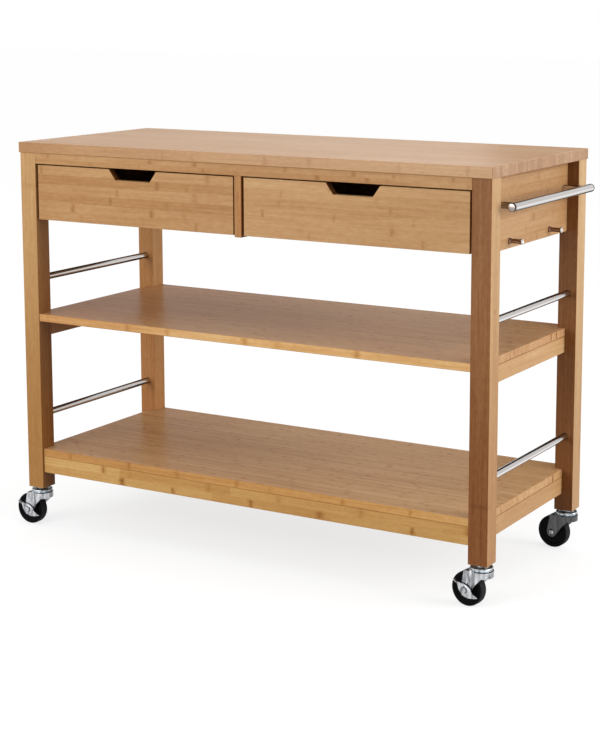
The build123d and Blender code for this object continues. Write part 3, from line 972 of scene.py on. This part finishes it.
@dataclass
class Worktop:
    """The thick worktop of strips on edge, with the angle brackets and screws under it."""

    top: Bamboo = Bamboo(
        "bamboo_worktop", tone=0.98, spread=0.07, strip=(0.0056, 0.024), start=(-0.254, 0.904),
        length=1.9, knuckle_gap=0.12, knuckle_depth=0.26, streaks=0.2,
        faces=((FRONT, -0.24), (REAR, -0.24), (RIGHT, -0.12)),
        end_depth=0.8, end_spread=0.08, warmth=0.5, seed=3.0, roughness=0.36, shine=0.5,
        # Painted reflection: the pink tint on the top, taken back off the edges by the side tints,
        # and a dimmer left end.
        stain=(1.1, 1.05, 1.15, 1.0), foot=(0.95, 0.93, 0.9, 1.0), painted_light_rise=(-0.55, 0.05),
        face_stains=(
            (RIGHT, (0.9, 0.99, 1.07, 1.0)), (LEFT, (0.9, 0.99, 1.07, 1.0)),
            (FRONT, (0.93, 1.04, 0.94, 1.0)), (REAR, (0.93, 1.04, 0.94, 1.0)),
        ),
    )
    metal: ZincPlate = ZincPlate("zinc_brackets")

    def build(self) -> None:
        """Dresses the worktop and its fastenings."""
        dress_nodes(self.top, "worktop")
        dress_nodes(self.metal, "worktop_brackets", "bracket_screws")


@dataclass
class Legs:
    """Four square legs, each of three layers of upright strips."""

    side: float = 0.0445
    shared: Bamboo = Bamboo(
        "", Grain.Z, tone=0.81, spread=0.07, length=3.0, knuckle_gap=0.45, knuckle_depth=0.2,
        streaks=0.26,
    )
    own: dict[str, dict] = field(default_factory=lambda: {
        # Painted light on the legs: the front-left leg's right side is painted shade, the
        # rear-left leg's right side painted light, the rear-right leg's darker front painted
        # shade, and the colour towards each foot painted light changing down the leg. The
        # front-right leg's darker front is the wood's own tone.
        "front_left": {
            "faces": ((RIGHT, -0.22),), "stain": (1.0, 1.0, 0.95, 1.0),
            "foot": (0.7, 0.57, 0.39, 1.0),
        },
        "front_right": {
            "faces": ((FRONT, -0.37),), "stain": (1.02, 1.1, 1.22, 1.0),
            "foot": (0.78, 0.65, 0.53, 1.0),
        },
        "rear_left": {
            "faces": ((RIGHT, 0.12),), "stain": (1.0, 0.97, 0.88, 1.0),
            "foot": (1.05, 0.92, 0.86, 1.0), "tone": 0.66,
        },
        "rear_right": {
            "faces": ((FRONT, -0.41),), "stain": (0.98, 1.04, 1.1, 1.0),
            "foot": (0.92, 0.88, 0.85, 1.0), "tone": 0.82,
        },
    })
    first_seed: float = 11.0

    def build(self) -> None:
        """Dresses each leg in its own tones."""
        for number, (place, own) in enumerate(self.own.items()):
            node = f"leg_{place}"
            low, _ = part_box(node)
            finish = replace(
                self.shared, name=f"bamboo_{node}", strip=(self.side, self.side / 3),
                start=(low.x, low.y), seed=self.first_seed + number, **own,
            )
            dress_nodes(finish, node)


@dataclass
class DrawerStorey:
    """The rails and panels round the drawers, the divider between them and the fixed runners."""

    rail: Bamboo = Bamboo(
        "bamboo_front_rail", tone=0.73, spread=0.05, strip=(0.006, 0.0125), start=(-0.251, 0.879),
        knuckle_gap=0.13, seed=21.0, length=2.4,
    )
    right: Bamboo = Bamboo(
        "bamboo_end_panel", Grain.Y, tone=0.72, start=(0.563, 0.744), seed=23.0,
        knuckle_depth=0.26, spread=0.08, length=2.0, stain=(1.0, 1.03, 1.1, 1.0),
    )
    left: Bamboo = replace(right, name="bamboo_left_panel", start=(-0.581, 0.744), seed=24.0)
    back: Bamboo = Bamboo(
        "bamboo_back_panel", tone=0.73, spread=0.1, start=(0.2065, 0.744), seed=25.0, length=2.4,
    )
    divider: Bamboo = Bamboo(
        "bamboo_divider", Grain.Z, tone=0.68, strip=(0.006, 0.02), start=(-0.009, -0.251),
        # Its sides get painted shade, as in the gaps beside the drawers.
        faces=((RIGHT, -0.3), (LEFT, -0.3)), warmth=0.8, seed=26.0,
    )
    runners: ZincPlate = ZincPlate(
        "zinc_fixed_runners", linear(158, 160, 164), linear(190, 192, 196), roughness=0.3,
        streak=(0.6, 0.05, 0.6),
    )

    def build(self) -> None:
        """Dresses the boards and runners that stay with the frame."""
        dress_nodes(self.rail, "front_rail")
        dress_nodes(self.right, "side_panel_right")
        dress_nodes(self.left, "side_panel_left")
        dress_nodes(self.back, "back_panel")
        dress_nodes(self.divider, "centre_divider")
        dress_nodes(self.runners, "fixed_runners")


@dataclass
class Drawer:
    """One drawer: a wide front of level strips with a finger notch, a box and moving runners."""

    end: str
    tone: float
    seed: float
    front: Bamboo = Bamboo(
        "", spread=0.09, warmth=0.0, start=(-0.248, 0.748), knuckle_gap=0.24, knuckle_depth=0.5,
        # The front's side edges get painted shade, as in the gaps beside it.
        length=3.0, end_depth=0.3, faces=((RIGHT, -0.36), (LEFT, -0.36)),
    )
    box: Bamboo = Bamboo(
        "", Grain.Y, tone=0.74, spread=0.08, strip=(0.006, 0.02), knuckle_depth=0.14,
    )

    def build(self) -> None:
        """Dresses the drawer's boards and runners."""
        end, node = self.end, f"drawer_{self.end}"
        front = replace(self.front, name=f"bamboo_front_{end}", tone=self.tone, seed=self.seed)
        box = replace(self.box, name=f"bamboo_box_{end}", seed=self.seed + 1)
        back = replace(box, name=f"bamboo_box_back_{end}", grain=Grain.X)
        floor = replace(back, name=f"bamboo_box_floor_{end}", strip=(0.02, 0.006), tone=0.78)
        runners = replace(DrawerStorey.runners, name=f"zinc_runners_{end}")
        dress_nodes(front, f"{node}_front")
        dress_nodes(box, f"{node}_side_left", f"{node}_side_right")
        dress_nodes(back, f"{node}_back")
        dress_nodes(floor, f"{node}_bottom")
        dress_nodes(runners, f"{node}_runners")


@dataclass
class ShelfLevel:
    """A shelf of narrow strips, and the boards under its edges."""

    shelf: str
    ends: str
    tone: float
    front_shift: float
    seed: float
    # The shelf's tint and its colour towards the left end: a painted reflection, brighter and
    # cooler towards the right.
    stain: Colour
    foot: Colour
    aprons: tuple[str, ...] = ()
    board: Bamboo = Bamboo(
        "", spread=0.07, strip=(0.0072, 0.018), length=1.7, knuckle_gap=0.15, knuckle_width=0.012,
        knuckle_depth=0.62, streaks=0.3, end_depth=0.36, end_spread=-0.04, warmth=0.4,
        roughness=0.32, shine=0.085, painted_light_rise=(-0.55, 0.1),
        # A tint on the front edge that keeps it out of the top's painted reflection.
        face_stains=((FRONT, (1.08, 1.06, 0.84, 1.0)),),
    )
    rail: Bamboo = Bamboo("", Grain.Y, knuckle_depth=0.2, spread=0.08)
    apron: Bamboo = Bamboo(
        "", tone=0.8, spread=0.1, strip=(0.006, 0.02), length=0.31, knuckle_gap=0.2,
        knuckle_width=0.0145, knuckle_depth=0.92, stain=(1.0, 0.96, 0.7, 1.0),
    )

    def build(self) -> None:
        """Dresses the shelf and the boards that carry it."""
        low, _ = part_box(self.shelf)
        self._dress(
            self.shelf, self.board, (low.y, low.z), self.seed, tone=self.tone, joint=low.z,
            faces=((FRONT, self.front_shift),), stain=self.stain, foot=self.foot,
        )
        for end, tone in (("left", 0.66), ("right", 0.82)):
            node = f"{self.ends}_{end}"
            low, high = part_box(node)
            self._dress(node, self.rail, (low.x, low.z), self.seed + 2, tone=tone, joint=high.z)
        for number, node in enumerate(self.aprons):
            low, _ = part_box(node)
            self._dress(node, self.apron, (low.y, low.z), self.seed + 3 + number)

    def _dress(
        self, node: str, board: Bamboo, start: Pair, seed: float, **own: object
    ) -> None:
        """Dresses one board in the finish of its kind, with its own start, seed and tones."""
        dress_nodes(replace(board, name=f"bamboo_{node}", start=start, seed=seed, **own), node)


@dataclass
class GuardRods:
    """The round steel rods between the legs at both ends."""

    chamfer: float = 0.0006
    steps: int = 48

    def build(self) -> None:
        """Turns each rod along Y from its own node's box."""
        steel = BrushedSteel("steel_guard_rods").make()
        for place in ("left_lower", "left_upper", "right_lower", "right_upper"):
            node = f"guard_rod_{place}"
            centre, half = middle(node)
            length, radius = half[1], half[2]
            corners = np.array([
                (-length, 0.0), (-length, radius - self.chamfer), (self.chamfer - length, radius),
                (length - self.chamfer, radius), (length, radius - self.chamfer), (length, 0.0),
            ])
            rod = turned(f"rod_{place}", corners, centre, ALONG_Y, self.steps)
            stand_for(rod, node, steel)


@dataclass
class TowelRail:
    """The capped towel bar on the right end, its two posts and the two pegs below it."""

    radius: float = 0.009
    neck: float = 0.0062
    cap: float = 0.0022
    gap: float = 0.0026
    post: float = 0.007
    peg: float = 0.0048
    rim: float = 0.0063
    flare: float = 0.0026
    chamfer: float = 0.0006
    steps: int = 64
    # The posts' painted dark reflections lie along the sides that face nearly up and down.
    steel: BrushedSteel = BrushedSteel("steel_posts", Grain.X, (0.0, 0.13, 0.99))

    def build(self) -> None:
        """Turns the bar along Y, and the posts and pegs along X."""
        self._build_bar()
        self._build_posts()
        self._build_pegs()

    def _build_bar(self) -> None:
        """Turns the bar: a domed cap, a thin groove, the long middle, and the same again."""
        centre, half = middle("towel_bar")
        end, radius = half[1], self.radius
        groove, bar = self.cap - end, self.cap + self.gap - end
        profile = rounded(mirrored([
            (-end, 0.0, 0.0), (0.0003 - end, radius - 0.0012, 0.0004),
            (0.0012 - end, radius, 0.0006), (groove, radius, 0.0003), (groove, self.neck, 0.0),
            (bar, self.neck, 0.0), (bar, radius, 0.0003),
        ]), steps=4)
        steel = BrushedSteel("steel_towel_bar", groove=end - 1.4 * self.cap).make()
        piece = turned("capped_bar", profile, centre, ALONG_Y, self.steps)
        stand_for(piece, "towel_bar", steel)

    def _build_posts(self) -> None:
        """Turns both posts from the end panel to the middle of the bar."""
        centre, half = middle("towel_bar_posts")
        bar, _ = middle("towel_bar")
        reach = bar[0] - (centre[0] - half[0])
        profile = rounded([
            (0.0, 0.0, 0.0), (0.0, self.post - self.chamfer, 0.0004),
            (self.chamfer, self.post, 0.0004), (reach, self.post, 0.0), (reach, 0.0, 0.0),
        ], steps=4)
        posts = joined("bar_posts", self._pair("post", "towel_bar_posts", profile, self.post))
        stand_for(posts, "towel_bar_posts", self.steel.make())

    def _build_pegs(self) -> None:
        """Turns both pegs: a flared foot, a slim neck and a rim with a shallow dished tip."""
        _, half = middle("pegs")
        length, rim, dish = 2 * half[0], self.rim, 2 * half[0] - self.chamfer
        profile = rounded([
            (0.0, 0.0, 0.0), (0.0, rim, 0.0004), (self.flare, rim, 0.0008),
            (2 * self.flare, self.peg, 0.002), (length - 2 * self.flare, self.peg, 0.002),
            (length - self.flare, rim, 0.0008), (length, rim, 0.0007),
            (length, rim - 0.0014, 0.0005), (dish, rim - 0.0026, 0.0005), (dish, 0.0, 0.0),
        ], steps=5)
        pegs = joined("turned_pegs", self._pair("peg", "pegs", profile, rim))
        # The pegs' browns are a painted reflection of the wood round them, and their light tips a
        # painted highlight.
        steel = replace(
            self.steel, name="steel_pegs", painted_dark_sides=linear(56, 42, 36), ends=linear(212, 208, 203),
            low=linear(112, 86, 70), high=linear(144, 114, 96), painted_highlight=linear(160, 130, 110),
        )
        stand_for(pegs, "pegs", steel.make())

    def _pair(
        self, name: str, node: str, profile: Array, radius: float
    ) -> list[Piece]:
        """Turns the two pieces of a node that stand side by side, from the panel outwards.

        Args:
            name: The start of the pieces' names.
            node: The node that holds both.
            profile: One piece's profile.
            radius: Its widest radius, which touches the side of the node's box.

        Returns:
            Both pieces.
        """
        centre, half = middle(node)
        low, spread = centre[0] - half[0], half[1] - radius
        return [
            turned(f"{name}_{number}", profile, (low, side, centre[2]), ALONG_X, self.steps)
            for number, side in enumerate((-spread, spread))
        ]


@dataclass
class Caster:
    """One swivel caster: a fixed pivot, a pressed fork, a wheel, an axle and maybe a brake."""

    place: str
    corner: Pair
    turn: float
    trail: float = 0.031
    wheel_radius: float = 0.0375
    wheel_half: float = 0.01075
    hub_half: float = 0.012
    web_half: float = 0.0086
    rib_half: float = 0.0094
    bore: float = 0.00408
    race_radius: float = 0.025
    groove_radius: float = 0.0222
    race_low: float = 0.083
    race_high: float = 0.0905
    race_step: float = 0.0012
    collar_radius: float = 0.012
    leg_bottom: float = 0.097
    pin: float = 0.005
    pin_head: Pair = (0.0035, 0.008)
    ease: float = 0.0005
    steps: int = 96
    bolt: ZincPlate = ZincPlate("", linear(84, 86, 90), linear(196, 198, 202))
    pivot: ZincPlate = ZincPlate("", linear(88, 98, 104), linear(214, 222, 228))

    @property
    def braked(self) -> bool:
        """Whether the caster has a brake, as both front ones do."""
        return self.place.startswith("front")

    @property
    def origin(self) -> Array:
        """The point on the floor below the middle of the caster's leg."""
        return np.array((*self.corner, 0.0))

    @property
    def axes(self) -> Array:
        """The caster's own axes, one row each: against its trail, along its axle, and up."""
        sine, cosine = math.sin(math.radians(self.turn)), math.cos(math.radians(self.turn))
        return np.array([(cosine, -sine, 0.0), (sine, cosine, 0.0), (0.0, 0.0, 1.0)])

    @property
    def axle(self) -> Array:
        """The middle of the axle."""
        return self.origin + np.array((-self.trail, 0.0, self.wheel_radius)) @ self.axes

    def build(self) -> None:
        """Builds and dresses the caster's parts."""
        self._build_wheel()
        self._build_pivot()
        plate = ZincPlate(f"zinc_{self.place}", axle=tuple(self.axle.tolist()), turn=self.turn)
        # Painted shade: the rear casters' plates are darker copies of the same zinc.
        if not self.braked:
            plate = replace(plate, low=linear(72, 70, 71), high=linear(98, 97, 98))
        metal = plate.make()
        bolt = replace(self.bolt, name=f"zinc_axle_{self.place}").make()
        parts = {"fork": metal, "axle": bolt} | ({"brake_lever": metal} if self.braked else {})
        for part, finish in parts.items():
            node = f"caster_{self.place}_{part}"
            stand_for(eased_copy(node, self.ease), node, finish)

    def _build_wheel(self) -> None:
        """Turns the wheel: a rounded tread, a stepped face with a rib, and a hub with its bore."""
        half, radius, web, rib = self.wheel_half, self.wheel_radius, self.web_half, self.rib_half
        profile = rounded(mirrored([
            (self.hub_half, self.bore, 0.0003), (self.hub_half, 0.011, 0.0012),
            (web, 0.0115, 0.0008), (web, 0.0175, 0.0004), (rib, 0.0182, 0.0004),
            (rib, 0.0196, 0.0004), (web, 0.0203, 0.0004), (web, 0.0268, 0.0012),
            (half, 0.029, 0.0008), (half, 0.0322, 0.0003), (half - 0.0007, 0.0327, 0.0002),
            (half - 0.0007, 0.0334, 0.0002), (half - 0.0002, 0.0339, 0.0006),
            (half - 0.0016, radius - 0.0004, 0.002), (half - 0.0045, radius, 0.004),
        ]), steps=5, closed=True)
        piece = turned(
            f"wheel_{self.place}", profile, self.axle, self.axes[[2, 0, 1]], self.steps,
            ring=True, sharp=50.0,
        )
        rubber = WheelRubber(f"rubber_{self.place}", tuple(self.axle.tolist()), self.turn)
        stand_for(piece, f"caster_{self.place}_wheel", rubber.make())

    def _build_pivot(self) -> None:
        """Turns the fixed pivot: a pin, the upper race, a cup with a rolled rim, and a collar."""
        node = f"caster_{self.place}_pivot"
        centre, half = middle(node)
        low, high = centre[2] - half[2], centre[2] + half[2]
        head, head_radius = self.pin_head
        race_low, race_high, groove = self.race_low, self.race_high, self.groove_radius
        floor, lid = race_low + self.race_step, race_high + self.race_step
        plain, fold, rim = 0.0006, 0.004, 0.0008
        profile = rounded([
            (low, 0.0, plain), (low, head_radius, plain), (low + head, head_radius, plain),
            (low + head, self.pin, plain), (race_low, self.pin, plain), (race_low, 0.0125, fold),
            (floor, 0.0178, fold), (race_low, 0.0225, fold),
            (floor, self.race_radius - 0.0008, plain), (race_low + 0.0022, groove, plain),
            (race_high - 0.0026, groove, plain), (race_high - 0.0016, self.race_radius, rim),
            (race_high, 0.0238, rim), (race_high, 0.0165, plain), (lid, 0.0155, plain),
            (lid, self.collar_radius, plain), (self.leg_bottom, self.collar_radius, plain),
            (self.leg_bottom, self.pin, plain), (high, self.pin, plain), (high, 0.0, plain),
        ], steps=5)
        piece = turned(f"pivot_{self.place}", profile, self.origin, self.axes, self.steps)
        metal = replace(self.pivot, name=f"zinc_pivot_{self.place}").make()
        stand_for(piece, node, metal)


@dataclass(frozen=True)
class Card:
    """A flat card: its middle, and its half sizes, one of them nothing."""

    name: str
    place: Point
    half: Point


@dataclass(frozen=True)
class Lamp:
    """A soft square lamp: where it hangs and points, its side in metres and power in watts."""

    name: str
    place: Point
    aim: Point
    size: float
    power: float = 100.0


@dataclass
class Studio:
    """A pale floor, soft light from all round, and the camera at the photograph's angle."""

    camera_place: Point = (2.06337, -3.39565, 1.26382)
    yaw: float = 0.5243
    pitch: float = -0.1505
    focal_pixels: float = 1736.08
    centre_pixels: Pair = (335.0, 260.0)
    image: tuple[int, int] = (600, 733)
    sensor: float = 36.0
    clip: Pair = (0.05, 100.0)
    floor: Card = Card("floor", (0.0, 0.0, 0.0), (30.0, 30.0, 0.0))
    floor_grey: float = 0.3
    floor_glow: float = 0.72
    flag_grey: float = 0.02
    sky: float = 0.9
    flags: tuple[Card, ...] = (
        Card("ceiling_flag", (-6.3, 7.5, 4.0), (5.7, 5.0, 0.0)),
        Card("floor_flag", (-1.25, 4.2, 0.002), (1.75, 3.8, 0.0)),
        Card("rear_flag", (-0.95, 4.0, 1.4), (0.4, 0.0, 1.2)),
    )
    lamps: tuple[Lamp, ...] = (
        Lamp("key_lamp", (-1.4, -4.0, 1.7), (0.0, 0.0, 0.55), 2.6),
        Lamp("side_lamp", (4.0, 0.4, 1.5), (0.0, 0.0, 0.6), 2.2),
    )

    def build(self) -> None:
        """Builds the camera, the floor, the world, the flags and the lamps."""
        self._build_camera()
        self._build_floor()
        self._build_world()
        for flag in self.flags:
            self._add_flag(flag)
        for lamp in self.lamps:
            self._add_lamp(lamp)
        bpy.context.scene.view_settings.view_transform = "Standard"
        log.info("studio is ready")

    def _build_camera(self) -> None:
        """Aims the camera: the lens is its focal length in pixels over the picture's long side."""
        data = bpy.data.cameras.new("camera")
        long_side = max(self.image)
        data.sensor_width = self.sensor
        data.lens = self.focal_pixels * self.sensor / long_side
        data.shift_x = (self.image[0] / 2 - self.centre_pixels[0]) / long_side
        data.shift_y = (self.centre_pixels[1] - self.image[1] / 2) / long_side
        data.clip_start, data.clip_end = self.clip
        camera = linked("camera", data)
        camera.location = self.camera_place
        camera.rotation_euler = (math.pi / 2 + self.pitch, 0.0, self.yaw)
        bpy.context.scene.camera = camera

    def _seen(self, sheet: NodeSheet) -> Socket:
        """Tells whether the ray comes from the camera, a mirror or glass, as 0 or 1.

        Args:
            sheet: The nodes of the floor or the world.

        Returns:
            1 where it does, 0 where it lights a matt surface.
        """
        path = sheet.add("ShaderNodeLightPath").outputs
        seen = sheet.math("MAXIMUM", path["Is Camera Ray"], path["Is Glossy Ray"])
        return sheet.math("MAXIMUM", seen, path["Is Transmission Ray"])

    def _matt(self, sheet: NodeSheet, grey: float) -> bpy.types.Node:
        """Adds a matt grey shader."""
        return sheet.add("ShaderNodeBsdfDiffuse", {"Color": (grey, grey, grey, 1.0)})

    def _card(self, card: Card) -> Piece:
        """Makes a flat card, level or upright.

        Args:
            card: The card's name, middle and half sizes.

        Returns:
            The card's object.
        """
        corners = np.array([(-1, -1, -1), (1, -1, -1), (1, 1, 1), (-1, 1, 1)], float)
        mesh = bpy.data.meshes.new(card.name)
        mesh.from_pydata((corners * card.half + card.place).tolist(), [], [(0, 1, 2, 3)])
        piece = linked(card.name, mesh)
        return piece

    def _build_floor(self) -> None:
        """Lays the floor: it keeps the shadows, and its glow makes it white where it is seen."""
        floor = self._card(self.floor)
        sheet = NodeSheet(bpy.data.materials.new("pale_floor"))
        matt = self._matt(sheet, self.floor_grey)
        strength = sheet.times(self._seen(sheet), self.floor_glow)
        glow = sheet.add("ShaderNodeEmission", {"Strength": strength})
        both = sheet.add("ShaderNodeAddShader", {0: matt.outputs[0], 1: glow.outputs[0]})
        sheet.show("ShaderNodeOutputMaterial", both)
        dress(floor, sheet.owner)

    def _build_world(self) -> None:
        """Lights from all round: white where it is seen, and at a plain level as light."""
        sheet = NodeSheet(bpy.data.worlds.new("studio"))
        bpy.context.scene.world = sheet.owner
        strength = sheet.times(self._seen(sheet), 1 - self.sky, self.sky)
        glow = sheet.add("ShaderNodeBackground", {"Color": WHITE, "Strength": strength})
        sheet.show("ShaderNodeOutputWorld", glow)

    def _add_flag(self, card: Card) -> None:
        """Hangs a black card that only mirrors see, so that the steel has dark edges.

        Args:
            card: The card's name, middle and half sizes.
        """
        flag = self._card(card)
        sheet = NodeSheet(bpy.data.materials.new(card.name))
        sheet.show("ShaderNodeOutputMaterial", self._matt(sheet, self.flag_grey))
        dress(flag, sheet.owner)
        flag.visible_camera = flag.visible_diffuse = flag.visible_shadow = False
        flag.visible_transmission = False

    def _add_lamp(self, lamp: Lamp) -> None:
        """Hangs a lamp and turns it to what it points at.

        Args:
            lamp: The lamp's name, places, size and power.
        """
        data = bpy.data.lights.new(lamp.name, "AREA")
        data.shape, data.size, data.energy = "SQUARE", lamp.size, lamp.power
        light = linked(lamp.name, data)
        light.location = lamp.place
        way = Vector(lamp.aim) - Vector(lamp.place)
        light.rotation_euler = way.to_track_quat("-Z", "Y").to_euler()


@dataclass
class KitchenIsland:
    """The whole island, sub-assembly by sub-assembly."""

    leg_x: float = 0.58525
    leg_y: float = 0.22875
    turns: dict[str, float] = field(default_factory=lambda: {
        "front_left": -1.0, "front_right": 8.0, "rear_left": 3.0, "rear_right": 6.5,
    })
    balls: ZincPlate = ZincPlate("steel_balls", roughness=0.1)

    def build(self) -> None:
        """Builds every sub-assembly and reports it."""
        parts = [
            Worktop(), Legs(), DrawerStorey(), Drawer("left", 0.73, 31.0),
            Drawer("right", 0.79, 41.0),
            # Each shelf's tint and left-end colour paint a reflection that brightens and cools
            # towards the right.
            ShelfLevel(
                "middle_shelf", "middle_rail", 0.76, 0.14, 51.0,
                stain=(1.1, 1.12, 1.24, 1.0), foot=(0.82, 0.7, 0.63, 1.0),
            ),
            ShelfLevel(
                "bottom_shelf", "apron", 0.81, -0.04, 61.0, stain=(1.06, 1.07, 1.1, 1.0),
                foot=(0.87, 0.81, 0.78, 1.0), aprons=("apron_front", "apron_rear"),
            ),
            GuardRods(), TowelRail(),
        ]
        for place, turn in self.turns.items():
            side_x = 1 if place.endswith("right") else -1
            side_y = 1 if place.startswith("rear") else -1
            parts.append(Caster(place, (side_x * self.leg_x, side_y * self.leg_y), turn))
        for part in parts:
            part.build()
            log.info("%s is done", type(part).__name__)
        dress_nodes(self.balls, "caster_balls")


def main() -> None:
    """Builds the island and its studio."""
    logging.basicConfig(level=logging.INFO, format="%(message)s")
    KitchenIsland().build()
    Studio().build()


if __name__ == "__main__":
    main()
